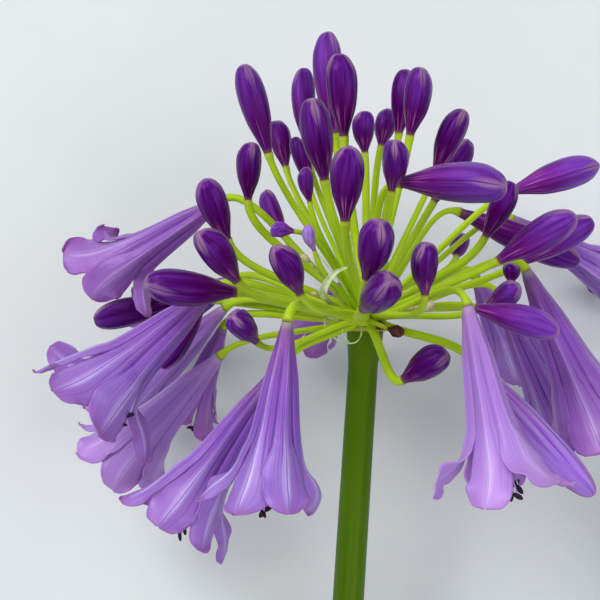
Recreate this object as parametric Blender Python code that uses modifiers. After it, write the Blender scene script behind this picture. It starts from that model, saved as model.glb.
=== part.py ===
"""An agapanthus flower head, cut with its stalk and laid down on a surface.

The head is laid out as it grew: x to the right, u up along the stalk and w towards the viewer, in
millimetres, with its zero at the receptacle, where all the flower stalks meet.  The whole flower is then
laid back, so that the cut foot of the stalk and the lowest blooms touch the surface.
"""
import math

import bmesh
import bpy
from mathutils import Matrix, Vector

MM = 0.001
SMOOTH_ANGLE = math.radians(40.0)
WELD = 0.01                  # points closer than this are one
GAP = 0.3                    # between a bloom and the end of its pedicel

SCAPE_LENGTH = 180.0
SCAPE_RADIUS_TOP = 4.4
SCAPE_RADIUS_FOOT = 5.0
SCAPE_LEAN = 3.6             # degrees that the foot swings to the left
HEAD_HEIGHT = 66.0           # receptacle above the surface
HEAD_X, HEAD_Y = -2.5, 41.6  # receptacle from the middle of the space that the whole flower takes

DOME_RADIUS = 6.4
DOME_HEIGHT = 5.2
ROOT_DEPTH = 3.2             # where a pedicel starts inside the dome
PEDICEL_RADIUS = 1.1
PEDICEL_NECK = 1.55          # radius where it meets its bloom
COLLAR = 2.2                 # length of the swelling under a bloom
PEDICEL_STATIONS = (0.0, 0.42, 0.7, 0.87)   # of the curve, closer where it bends

# a bud's half width at shares of its length, as a share of its widest
BUD_SIDES = 9
BUD_PROFILE = ((0.0, 0.3), (0.16, 0.52), (0.36, 0.86), (0.6, 1.0), (0.82, 0.82), (0.96, 0.34))
OPENING_PROFILE = ((0.0, 0.3), (0.2, 0.46), (0.45, 0.74), (0.7, 1.0), (0.88, 0.86), (0.975, 0.36))

PETAL = 0.75                 # thickness of a tepal
# a floret's radius at shares of its length
TUBE_PROFILE = ((0.0, 1.9), (0.3, 3.9), (0.6, 6.3), (0.8, 9.2), (1.0, 12.6))
LOBE_REACH = 1.05            # the lobes' tips reach this far past the mouth's middle
TEPAL_ROWS = (0.0, 0.33, 0.7, 0.86, 1.0)
NOTCH_ROW = 2                # the tepals are joined up to this row
INNER_HALF_ANGLE = (34.0, 26.5)   # degrees that a broad lobe takes at the rows past the notch
OUTER_HALF_ANGLE = (24.0, 17.5)   # the same for a narrow one
TIP_ROUNDING = 0.17          # of the length that a lobe's corners fall short
LOBE_SWAY = 2.0              # mm that the lobes recurve or close, each by its own share
SWAY_STEP = 2.4              # radians of sway from one lobe to the next
SWAY_LIFT = 0.03             # of the length that a recurved lobe falls short

# name: joint with its pedicel (x, u, w), tip (x, u, w), width
BUDS = {
    "bud_01": ((-9.1, 55.8, -8), (-11.7, 88.3, -13), 9.5),
    "bud_02": ((-6.8, 53.7, 5), (-8.0, 78.0, 8), 9.2),
    "bud_03": ((-17.9, 55.0, -20), (-18.9, 79.3, -26), 7.6),
    "bud_04": ((-13.0, 38.7, 32), (-16.5, 60.1, 40), 8.9),
    "bud_05": ((-7.7, 26.6, 45), (-7.2, 45.9, 53), 9.1),
    "bud_06": ((-17.0, 40.3, -8), (-21.3, 55.7, -12), 5.5),
    "bud_07": ((-17.0, 33.5, 17), (-18.5, 43.5, 18), 4.6),
    "bud_08": ((-29.2, 48.7, 5), (-36.3, 74.9, 8), 8.6),
    "bud_09": ((-24.2, 46.7, -18), (-27.4, 62.4, -26), 6.9),
    "bud_10": ((-34.8, 34.3, 15), (-34.0, 50.5, 20), 7.3),
    "bud_11": ((-25.0, 26.3, -38), (-31.7, 41.8, -48), 6.6),
    "bud_12": ((-40.1, 22.2, 28), (-46.5, 38.8, 34), 8.3),
    "bud_13": ((-36.8, 10.5, 42), (-46.1, 23.5, 52), 8.8),
    "bud_14": ((-19.8, 7.1, 50), (-25.9, 19.2, 60), 7.8),
    "bud_15": ((-37.5, 7.6, 30), (-61.9, 9.7, 40), 10.1),
    "bud_16": ((-58.5, 4.8, -24), (-86.0, -0.9, -30), 9.3),
    "bud_17": ((-31.6, -5.9, 42), (-37.9, 1.5, 51), 7.2),
    "bud_18": ((-15.7, 19.4, 20), (-17.8, 26.7, 22), 3.7),
    "bud_19": ((-21.5, 25.1, 18), (-28.5, 25.6, 20), 4.6),
    "bud_20": ((5.3, 35.3, 36), (6.1, 48.5, 43), 7.3),
    "bud_21": ((-0.7, 48.7, 8), (-1.4, 60.8, 10), 6.6),
    "bud_22": ((10.2, 55.8, -6), (12.7, 75.8, -8), 7.9),
    "bud_23": ((5.4, 53.2, -17), (8.7, 65.5, -21), 6.9),
    "bud_24": ((12.7, 54.0, 6), (15.9, 73.6, 10), 8.2),
    "bud_25": ((21.0, 43.8, -2), (29.2, 62.7, 0), 8.1),
    "bud_26": ((23.4, 36.9, -35), (36.8, 58.3, -46), 7.9),
    "bud_27": ((8.0, 37.9, 34), (35.2, 36.4, 48), 11.1),
    "bud_28": ((44.1, 38.2, 0), (70.9, 46.8, -6), 9.7),
    "bud_29": ((32.5, 23.1, 24), (40.6, 38.7, 24), 7.1),
    "bud_30": ((35.1, 16.3, 32), (54.8, 28.7, 41), 9.1),
    "bud_31": ((46.5, 16.7, 2), (67.4, 29.7, 2), 9.0),
    "bud_32": ((30.0, 19.0, -26), (33.2, 26.2, -38.2), 6.4),
    "bud_33": ((30.0, 33.0, -19), (70.0, 17.6, -30), 9.8),
    "bud_34": ((-2.2, 10.9, 50), (0.9, 26.0, 60), 9.4),
    "bud_35": ((-3.0, 3.0, 47), (3.5, 10.5, 65), 9.4),
    "bud_36": ((13.6, 6.9, 46), (12.8, 20.3, 54), 7.4),
    "bud_37": ((8.6, -16.8, 32), (20.5, -8.6, 37), 8.7),
    "bud_38": ((32.9, 3.8, 26), (40.9, 9.4, 33), 6.8),
    "bud_39": ((28.4, 3.2, 34), (49.8, -3.0, 44), 8.3),
    "bud_40": ((-48.2, 6.0, 2), (-61.4, -15.1, -2), 7.8),
    "bud_41": ((40.5, 10.0, 20), (40.0, 16.0, 22), 5.0),
}
OPENING_BUDS = {
    "opening_bud_01": ((31.0, -13.0, 21), (61.8, -49.3, 30), 9.6),
}
# name: joint, middle of the mouth (x, u, w), share of the full width, turn of the tepals in degrees
FLORETS = {
    "floret_01": ((-43.1, 35.3, 2), (-81.8, 11.2, -12), 1.08, 55),
    "floret_02": ((-44.9, 8.3, 18), (-81.7, -24.4, 26), 1.3, 80),
    "floret_03": ((-43.1, -10.9, 12), (-74.3, -43.6, -7), 1.1, 103),
    "floret_04": ((-43.0, 3.0, -15), (-79.5, -30.5, -31), 1.0, 0),
    "floret_05": ((-44.0, -3.0, -22), (-57.2, -33.0, -45), 0.74, 30),
    "floret_06": ((-25.9, -14.1, 28), (-55.4, -57.0, 28), 1.1, 78),
    "floret_07": ((-23.1, -0.2, 48), (-28.4, -49.5, 52), 1.05, 55),
    "floret_08": ((5.0, 16.0, -23), (-17.0, -3.0, -50), 0.85, 15),
    "floret_09": ((25.0, 4.0, 45), (34.6, -46.6, 50), 1.22, 78),
    "floret_10": ((45.5, 14.1, 15), (68.5, -33.7, 12.5), 1.3, 72),
    "floret_11": ((41.1, 6.9, -8), (64.8, -38.2, -20), 1.0, 44),
    "floret_12": ((36.0, 13.0, -26), (52.0, -14.0, -48), 0.9, 8),
    "floret_13": ((-40.0, 13.0, -28), (-69.0, -2.0, -58), 0.9, 50),
    "floret_14": ((50.0, 35.5, -33), (91.0, 15.0, -56), 0.78, 0),
}
WITHERED = {"withered_bud": ((5.6, -2.8, 12), (10.0, -4.6, 14), 3.6)}
# blooms that carry the head: each is let down or lifted until it just touches the surface
RESTING = ("floret_13", "floret_14")
HANDLE = 11.0                # length of a pedicel's run in line with its bloom
HOOKED = {"bud_37": 5.0}     # the same for a pedicel that sags and turns up sharply
ROOT_PULL = 0.45             # share of its reach that a pedicel leaves the dome straight


def clear_scene():
    """Remove every object that the file starts with."""
    for item in list(bpy.data.objects):
        bpy.data.objects.remove(item, do_unlink=True)


def new_collection(name):
    """A named collection in the scene."""
    collection = bpy.data.collections.new(name)
    bpy.context.scene.collection.children.link(collection)
    return collection


def make_material(name, colour, roughness):
    """A plain plant finish, never metallic."""
    material = bpy.data.materials.new(name)
    material.use_nodes = True
    shader = material.node_tree.nodes["Principled BSDF"]
    shader.inputs["Base Color"].default_value = (*colour, 1.0)
    shader.inputs["Roughness"].default_value = roughness
    shader.inputs["Metallic"].default_value = 0.0
    return material


def laid_back():
    """The turn and lift that take the growing flower to the laid one."""
    foot_drop = SCAPE_LENGTH * math.cos(math.radians(SCAPE_LEAN))
    tilt = math.asin((HEAD_HEIGHT - SCAPE_RADIUS_FOOT) / foot_drop)
    for _ in range(8):
        foot = HEAD_HEIGHT - SCAPE_RADIUS_FOOT * math.cos(tilt)
        tilt = math.asin(foot / foot_drop)
    turn = Matrix(((1, 0, 0), (0, math.cos(tilt), -math.sin(tilt)), (0, math.sin(tilt), math.cos(tilt))))
    return Matrix.Translation((HEAD_X, HEAD_Y, HEAD_HEIGHT)) @ turn.to_4x4()


LAID = laid_back()


def placed(point):
    """A growing point (x, u, w) in the laid flower's millimetres."""
    return LAID @ Vector(point)


def aligned(joint, tip, roll=0.0):
    """The frame of a bloom: +Z runs from its joint to its tip, turned by roll about that."""
    start, end = placed(joint), placed(tip)
    axis = (end - start).normalized()
    side = axis.cross(LAID.to_3x3() @ Vector((0, 0, 1))).normalized()
    front = side.cross(axis)
    frame = Matrix((side, front, axis)).transposed().to_4x4()
    return Matrix.Translation(start) @ frame @ Matrix.Rotation(math.radians(roll), 4, "Z")


def finish(name, shape, collection, material):
    """Turn a bmesh in millimetres, its faces already outward, into a named object in metres."""
    bmesh.ops.scale(shape, vec=(MM, MM, MM), verts=shape.verts)
    mesh = bpy.data.meshes.new(name)
    shape.to_mesh(mesh)
    shape.free()
    mesh.materials.append(material)
    mesh.shade_smooth()
    mesh.set_sharp_from_angle(angle=SMOOTH_ANGLE)
    item = bpy.data.objects.new(name, mesh)
    collection.objects.link(item)
    return item


def resting_shift(name, shape):
    """Let a resting bloom down until it touches the surface, and say by how much."""
    if name not in RESTING:
        return Vector((0, 0, 0))
    shift = Vector((0, 0, -min(vertex.co.z for vertex in shape.verts)))
    bmesh.ops.translate(shape, vec=shift, verts=shape.verts)
    return shift


def bud_shape(joint, tip, width, profile):
    """A uvsphere whose rings take a bud's radius at each share of its length, flat at the base."""
    shape = bmesh.new()
    bmesh.ops.create_uvsphere(shape, u_segments=BUD_SIDES, v_segments=len(profile) + 1, radius=1.0)
    length = (placed(tip) - placed(joint)).length - GAP
    rings = ((0.0, 0.0), *profile, (1.0, 0.0))
    for vertex in shape.verts:
        ring = round((1.0 - math.acos(max(-1.0, min(1.0, vertex.co.z))) / math.pi) * (len(rings) - 1))
        share, radius = rings[ring]
        turn = math.atan2(vertex.co.y, vertex.co.x)
        reach = radius * width / 2.0
        vertex.co = (reach * math.cos(turn), reach * math.sin(turn), GAP + share * length)
    bmesh.ops.transform(shape, matrix=aligned(joint, tip), verts=shape.verts)
    bmesh.ops.recalc_face_normals(shape, faces=shape.faces)
    return shape


def profile_radius(profile, share):
    """The radius at a share of the length, on straight runs between the profile's points."""
    for (low, first), (high, last) in zip(profile, profile[1:]):
        if share <= high:
            return first + (last - first) * (share - low) / (high - low)
    return profile[-1][1]


def tepal_point(column, row, number, length, width_share, phase):
    """A point of one tepal: column runs from -1 to 1 across it, row along TEPAL_ROWS."""
    share = TEPAL_ROWS[row]
    inner = number % 2 == 0
    base = TUBE_PROFILE[0][1]
    radius = base + (profile_radius(TUBE_PROFILE, share) - base) * width_share
    half_angle = 30.0
    if row > NOTCH_ROW:
        half_angle = (INNER_HALF_ANGLE if inner else OUTER_HALF_ANGLE)[row - NOTCH_ROW - 1]
        free = (share - TEPAL_ROWS[NOTCH_ROW]) / (1.0 - TEPAL_ROWS[NOTCH_ROW])
        sway = math.sin(SWAY_STEP * number + phase) * free
        radius += LOBE_SWAY * sway
        share -= free * TIP_ROUNDING * column * column + SWAY_LIFT * max(0.0, sway)
    turn = math.radians(60.0 * number + half_angle * column)
    return Vector((radius * math.cos(turn), radius * math.sin(turn), GAP + share * length))


def floret_shape(joint, mouth, width_share, roll):
    """Six tepals, each a bent grid, joined at their edges as far as the notch and closed at the base."""
    shape = bmesh.new()
    length = (placed(mouth) - placed(joint)).length * LOBE_REACH - GAP
    rows = len(TEPAL_ROWS)
    for number in range(6):
        grid = bmesh.ops.create_grid(shape, x_segments=4, y_segments=rows - 1, size=1.0)
        for vertex in grid["verts"]:
            row = round((vertex.co.y + 1.0) / 2.0 * (rows - 1))
            vertex.co = tepal_point(vertex.co.x, row, number, length, width_share, math.radians(roll))
    bmesh.ops.remove_doubles(shape, verts=shape.verts, dist=WELD)
    base = [edge for edge in shape.edges if all(abs(end.co.z - GAP) < WELD for end in edge.verts)]
    foot = bmesh.ops.contextual_create(shape, geom=base)["faces"][0]
    bmesh.ops.transform(shape, matrix=aligned(joint, mouth, roll), verts=shape.verts)
    bmesh.ops.recalc_face_normals(shape, faces=shape.faces)
    foot.normal_update()
    if foot.normal.dot(placed(mouth) - placed(joint)) > 0.0:
        bmesh.ops.reverse_faces(shape, faces=shape.faces)
    return shape


def add_floret(name, joint, mouth, width_share, roll, collection, material):
    """An open floret: its shell gets its thickness inwards."""
    shape = floret_shape(joint, mouth, width_share, roll)
    shift = resting_shift(name, shape)
    item = finish(name, shape, collection, material)
    wall = item.modifiers.new("wall", "SOLIDIFY")
    wall.thickness = PETAL * MM
    wall.offset = -1.0
    return shift


def bezier(points, t):
    """The point of a cubic curve at a share t of its run."""
    weights = ((1 - t) ** 3, 3 * t * (1 - t) ** 2, 3 * t * t * (1 - t), t ** 3)
    return sum((weight * point for weight, point in zip(weights, points)), Vector((0, 0, 0)))


def pedicel_route(name, joint, tip, shift):
    """Straight out of the dome, then in line with the bloom at its joint."""
    end = placed(joint) + shift
    axis = (placed(tip) - placed(joint)).normalized()
    centre = placed((0, 0, 0))
    outward = (end - centre).normalized()
    start = centre + outward * ROOT_DEPTH
    reach = (end - start).length
    handle = HOOKED.get(name, HANDLE)
    return (start, start + outward * reach * ROOT_PULL, end - axis * handle, end)


def add_pedicel(name, route, collection, material):
    """A bevelled curve from the dome to the bloom, made a mesh for the union."""
    curve = bpy.data.curves.new(name, "CURVE")
    curve.dimensions = "3D"
    curve.bevel_depth = MM
    curve.bevel_resolution = 1
    curve.use_fill_caps = True
    collar = (route[3] - route[2]).normalized() * COLLAR
    stations = [(bezier(route, t), PEDICEL_RADIUS) for t in PEDICEL_STATIONS]
    stations += [(route[3] - collar, PEDICEL_RADIUS), (route[3], PEDICEL_NECK)]
    spline = curve.splines.new("POLY")
    spline.points.add(len(stations) - 1)
    for point, (place, radius) in zip(spline.points, stations):
        point.co = (*(place * MM), 1.0)
        point.radius = radius
    guide = bpy.data.objects.new(name, curve)
    collection.objects.link(guide)
    evaluated = guide.evaluated_get(bpy.context.evaluated_depsgraph_get())
    mesh = bpy.data.meshes.new_from_object(evaluated)
    bpy.data.objects.remove(guide, do_unlink=True)
    shape = bmesh.new()
    shape.from_mesh(mesh)
    bmesh.ops.remove_doubles(shape, verts=shape.verts, dist=WELD * MM)
    bmesh.ops.recalc_face_normals(shape, faces=shape.faces)
    shape.to_mesh(mesh)
    shape.free()
    item = bpy.data.objects.new(name, mesh)
    collection.objects.link(item)
    return item


def add_umbel(routes, collection, roots, material):
    """The receptacle's dome with every pedicel fused to it."""
    dome = bmesh.new()
    bmesh.ops.create_uvsphere(dome, u_segments=12, v_segments=8, radius=1.0)
    for vertex in dome.verts:
        vertex.co = (vertex.co.x * DOME_RADIUS, vertex.co.z * DOME_HEIGHT, vertex.co.y * DOME_RADIUS)
    bmesh.ops.transform(dome, matrix=LAID, verts=dome.verts)
    bmesh.ops.recalc_face_normals(dome, faces=dome.faces)
    umbel = finish("umbel", dome, collection, material)
    for name, route in routes.items():
        add_pedicel("pedicel_" + name, route, roots, material)
    union = umbel.modifiers.new("pedicels", "BOOLEAN")
    union.operation = "UNION"
    union.operand_type = "COLLECTION"
    union.collection = roots
    evaluated = umbel.evaluated_get(bpy.context.evaluated_depsgraph_get())
    fused = bpy.data.meshes.new_from_object(evaluated)
    umbel.modifiers.clear()
    umbel.data = fused
    for item in list(roots.objects):
        bpy.data.objects.remove(item, do_unlink=True)
    bpy.data.collections.remove(roots)


def add_scape(collection, material):
    """The stalk: a slightly tapered round bar, cut square at the foot, just clear of the dome."""
    shape = bmesh.new()
    top = DOME_HEIGHT + GAP
    length = SCAPE_LENGTH - top
    bmesh.ops.create_cone(shape, cap_ends=True, segments=20, radius1=SCAPE_RADIUS_FOOT,
                          radius2=SCAPE_RADIUS_TOP, depth=length)
    bmesh.ops.translate(shape, vec=(0, 0, -top - length / 2.0), verts=shape.verts)
    upright = Matrix(((1, 0, 0), (0, 0, 1), (0, -1, 0))).to_4x4()
    lean = Matrix.Rotation(math.radians(-SCAPE_LEAN), 4, "Z")
    bmesh.ops.transform(shape, matrix=LAID @ lean @ upright, verts=shape.verts)
    finish("scape", shape, collection, material)


def build():
    """Model every piece of the flower head."""
    clear_scene()
    head = new_collection("agapanthus_flower_head")
    roots = new_collection("pedicels")
    lilac = make_material("floret_lilac", (0.30, 0.14, 0.62), 0.45)
    violet = make_material("bud_violet", (0.07, 0.01, 0.16), 0.32)
    brown = make_material("withered_brown", (0.10, 0.04, 0.02), 0.7)
    leaf_green = make_material("pedicel_green", (0.28, 0.45, 0.02), 0.4)
    dark_green = make_material("scape_green", (0.05, 0.14, 0.01), 0.4)
    routes = {}
    for name, (joint, mouth, width_share, roll) in FLORETS.items():
        shift = add_floret(name, joint, mouth, width_share, roll, head, lilac)
        routes[name] = pedicel_route(name, joint, mouth, shift)
    groups = ((BUDS, BUD_PROFILE, violet), (OPENING_BUDS, OPENING_PROFILE, violet),
              (WITHERED, BUD_PROFILE, brown))
    for group, profile, material in groups:
        for name, (joint, tip, width) in group.items():
            shape = bud_shape(joint, tip, width, profile)
            shift = resting_shift(name, shape)
            finish(name, shape, head, material)
            routes[name] = pedicel_route(name, joint, tip, shift)
    add_umbel(routes, head, roots, leaf_green)
    add_scape(head, dark_green)


build()
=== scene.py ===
"""The looks of a cut agapanthus flower head that lies on a pale surface.

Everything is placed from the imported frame: the stalk's solid gives the way that the flower grew, and each
bloom's solid gives its joint, its axis and its size.  Inside the classes lengths are in millimetres, in
the growing directions: right, up along the stalk and out towards the viewer.
"""
import logging
import math
from dataclasses import dataclass, field
from enum import Enum

import bmesh
import bpy
import numpy as np
from mathutils import Matrix, Vector


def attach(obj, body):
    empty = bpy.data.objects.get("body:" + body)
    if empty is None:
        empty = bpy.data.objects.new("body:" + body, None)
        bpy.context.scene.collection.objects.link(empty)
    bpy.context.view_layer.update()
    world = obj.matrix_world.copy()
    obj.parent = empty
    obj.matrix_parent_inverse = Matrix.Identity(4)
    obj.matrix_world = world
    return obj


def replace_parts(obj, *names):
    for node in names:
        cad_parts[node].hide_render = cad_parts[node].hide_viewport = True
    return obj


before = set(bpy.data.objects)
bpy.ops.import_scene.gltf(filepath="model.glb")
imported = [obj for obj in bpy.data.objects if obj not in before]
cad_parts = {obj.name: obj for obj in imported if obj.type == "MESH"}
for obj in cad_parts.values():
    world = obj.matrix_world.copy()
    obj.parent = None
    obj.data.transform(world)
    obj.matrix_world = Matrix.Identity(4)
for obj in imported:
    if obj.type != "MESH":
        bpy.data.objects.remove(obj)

MM = 0.001
LOG = logging.getLogger("agapanthus")
Array = np.ndarray
Colour = tuple[float, float, float]
Material = bpy.types.Material

GAP = 0.3                      # mm between a bloom and its pedicel
DOME_RADIUS = 6.4              # mm, of the receptacle
DOME_HEIGHT = 5.2              # mm from its middle to its top
END_BAND = 0.5                 # mm at either end of the stalk that hold only its last ring
BODY = "root"


class Slot(str, Enum):
    """The record's material slots."""

    SCAPE = "scape_green"
    PEDICEL = "pedicel_green"
    FLORET = "floret_lilac"
    BUD = "bud_violet"
    WITHERED = "withered_brown"


def unit(vectors: Array) -> Array:
    """Each row divided by its length."""
    return vectors / np.maximum(np.linalg.norm(vectors, axis=-1, keepdims=True), 1e-12)


def ease(low: float, high: float, at: Array) -> Array:
    """A smooth step: 3 t squared less 2 t cubed, with t running from 0 at low to 1 at high."""
    t = np.clip((at - low) / (high - low), 0.0, 1.0)
    return t * t * (3.0 - 2.0 * t)


def through(stations: tuple, values: tuple, at: Array) -> Array:
    """A smooth curve through values at stations: cubic Hermite runs with central slopes.

    Args:
        stations: rising places along the curve.
        values: a number or a row of numbers at each station.
        at: the places to work out.

    Returns:
        The curve's values, one row for each place.
    """
    x, y = np.asarray(stations, float), np.asarray(values, float)
    slope = np.gradient(y, x, axis=0)
    run = np.clip(np.searchsorted(x, at, side="right") - 1, 0, len(x) - 2)
    width = x[run + 1] - x[run]
    t = (at - x[run]) / width
    if y.ndim > 1:
        t, width = t[..., None], width[..., None]
    first = (1 + 2 * t) * (1 - t) ** 2 * y[run] + t * (1 - t) ** 2 * width * slope[run]
    return first + t * t * (3 - 2 * t) * y[run + 1] + t * t * (t - 1) * width * slope[run + 1]


def turned(first: Array, second: Array, angle: Array) -> Array:
    """First times the cosine plus second times the sine of each angle."""
    return first * np.cos(angle)[..., None] + second * np.sin(angle)[..., None]


def swung(side: Array, front: Array, angle: float) -> tuple[Array, Array]:
    """Two directions square to each other, both turned in their own plane by an angle."""
    cosine, sine = math.cos(angle), math.sin(angle)
    return side * cosine + front * sine, front * cosine - side * sine


def shares(count: int) -> Array:
    """Even steps from 0 to 1."""
    return np.linspace(0.0, 1.0, count)


def circle(count: int) -> Array:
    """Even angles once round."""
    return np.linspace(0.0, 2 * np.pi, count, endpoint=False)


@dataclass
class Surface:
    """Points with their faces and the growth coordinates (across, along) of each face's corners."""

    points: Array
    faces: list
    corners: list

    @staticmethod
    def grid(points: Array, across: Array, along: Array, closed: bool = False) -> "Surface":
        """Quads over a grid of rows and columns, with the last column joined to the first if closed.

        Args:
            points: rows by columns by 3.
            across: the growth coordinate of each column, with one more than the columns if closed.
            along: the growth coordinate of each row.
            closed: whether the columns go all the way round.

        Returns:
            The surface, facing away from the columns' turning side.
        """
        rows, columns = points.shape[:2]
        steps = columns if closed else columns - 1
        row, column = np.meshgrid(np.arange(rows - 1), np.arange(steps), indexing="ij")
        row, column = row.ravel(), column.ravel()
        after = (column + 1) % columns
        quads = np.stack([row * columns + column, row * columns + after,
                          (row + 1) * columns + after, (row + 1) * columns + column], 1)
        u = np.stack([across[column], across[column + 1], across[column + 1], across[column]], 1)
        v = np.stack([along[row], along[row], along[row + 1], along[row + 1]], 1)
        corners = np.stack([u, v], 2)
        return Surface(points.reshape(-1, 3), quads.tolist(), corners.reshape(-1, 2).tolist())

    def cap(self, ring: Array, centre: Array, along: float, flip: bool) -> None:
        """Close a ring of points with a fan of triangles about its centre."""
        middle = len(self.points)
        self.points = np.vstack([self.points, centre])
        after = np.roll(ring, -1)
        near, far = (after, ring) if flip else (ring, after)
        self.faces += np.stack([near, far, np.full(len(ring), middle)], 1).tolist()
        self.corners += [[0.5, along]] * (3 * len(ring))

    @staticmethod
    def barrel(points: Array, along: Array, ends: tuple[Array, Array], flip: bool = True) -> "Surface":
        """A grid that is closed all the way round and, by a fan about each of two middles, at both ends."""
        rows, columns = points.shape[:2]
        surface = Surface.grid(points, shares(columns + 1), along, True)
        ring = np.arange(columns)
        surface.cap(ring, ends[0], along[0], flip)
        surface.cap(ring + columns * (rows - 1), ends[1], along[-1], not flip)
        return surface

    def join(self, other: "Surface") -> None:
        """Take another surface's points and faces in."""
        shift = len(self.points)
        self.points = np.vstack([self.points, other.points])
        self.faces += [[corner + shift for corner in face] for face in other.faces]
        self.corners += other.corners


def joined(surfaces: list[Surface]) -> Surface:
    """All the surfaces as one."""
    whole = Surface(surfaces[0].points, list(surfaces[0].faces), list(surfaces[0].corners))
    for other in surfaces[1:]:
        whole.join(other)
    return whole


@dataclass(frozen=True)
class Head:
    """Where the receptacle lies, and the flower's growing directions, in the laid frame."""

    centre: Array
    right: Array
    up: Array
    out: Array

    @staticmethod
    def from_scape(node: str) -> "Head":
        """Read the growing directions from the stalk's solid, whose rings are round and even."""
        points = node_points(node)
        middle = points.mean(0)
        axis = np.linalg.svd(points - middle)[2][0]
        axis = axis if axis[2] > 0 else -axis
        reach = (points - middle) @ axis
        top = points[reach > reach.max() - END_BAND].mean(0)
        centre = top + axis * (DOME_HEIGHT + GAP)
        right = np.array([1.0, 0.0, 0.0])
        up = unit(np.array([0.0, axis[1], axis[2]]))
        return Head(centre, right, up, np.cross(right, up))

    def place(self, growing: Array) -> Array:
        """Growing points (right, up, out) in the laid frame, in millimetres."""
        return self.centre + np.asarray(growing, float) @ np.stack([self.right, self.up, self.out])


def node_points(node: str) -> Array:
    """The different vertices of a frame node, in millimetres."""
    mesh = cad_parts[node].data
    flat = np.empty(len(mesh.vertices) * 3)
    mesh.vertices.foreach_get("co", flat)
    return np.unique(np.round(flat.reshape(-1, 3) / MM, 3), axis=0)


@dataclass(frozen=True)
class Stem:
    """A bloom's joint, axis, length from its base to its furthest tip, and widest half width."""

    name: str
    joint: Array
    axis: Array
    length: float
    radius: float

    @staticmethod
    def read(node: str, head: Head) -> "Stem":
        """Measure a bloom's solid, whose lower rings are even, so that their middles lie on its axis.

        A floret's axis runs from the middle of its lowest 8 hundredths to the middle of what lies
        between 20 and 45 hundredths, and is found in three rounds.
        """
        points = node_points(node)
        middle = points.mean(0)
        axis = np.linalg.svd(points - middle)[2][0]
        if (head.centre - middle) @ axis > 0:
            axis = -axis
        for _ in range(3 if node.startswith("floret") else 0):
            reach = points @ axis
            share = (reach - reach.min()) / np.ptp(reach)
            base, ring = points[share < 0.08].mean(0), points[(share > 0.2) & (share < 0.45)].mean(0)
            axis = unit(ring - base)
        reach = points @ axis
        base = points[reach < reach.min() + 0.2].mean(0)
        away = points - base - np.outer((points - base) @ axis, axis)
        return Stem(node, base - axis * GAP, axis, float(np.ptp(reach)),
                    float(np.linalg.norm(away, axis=1).max()))

    def sides(self, head: Head, roll: float) -> tuple[Array, Array]:
        """Two directions square to the axis, turned by roll degrees."""
        side = unit(np.cross(self.axis, head.out))
        return swung(side, np.cross(side, self.axis), math.radians(roll))


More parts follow.
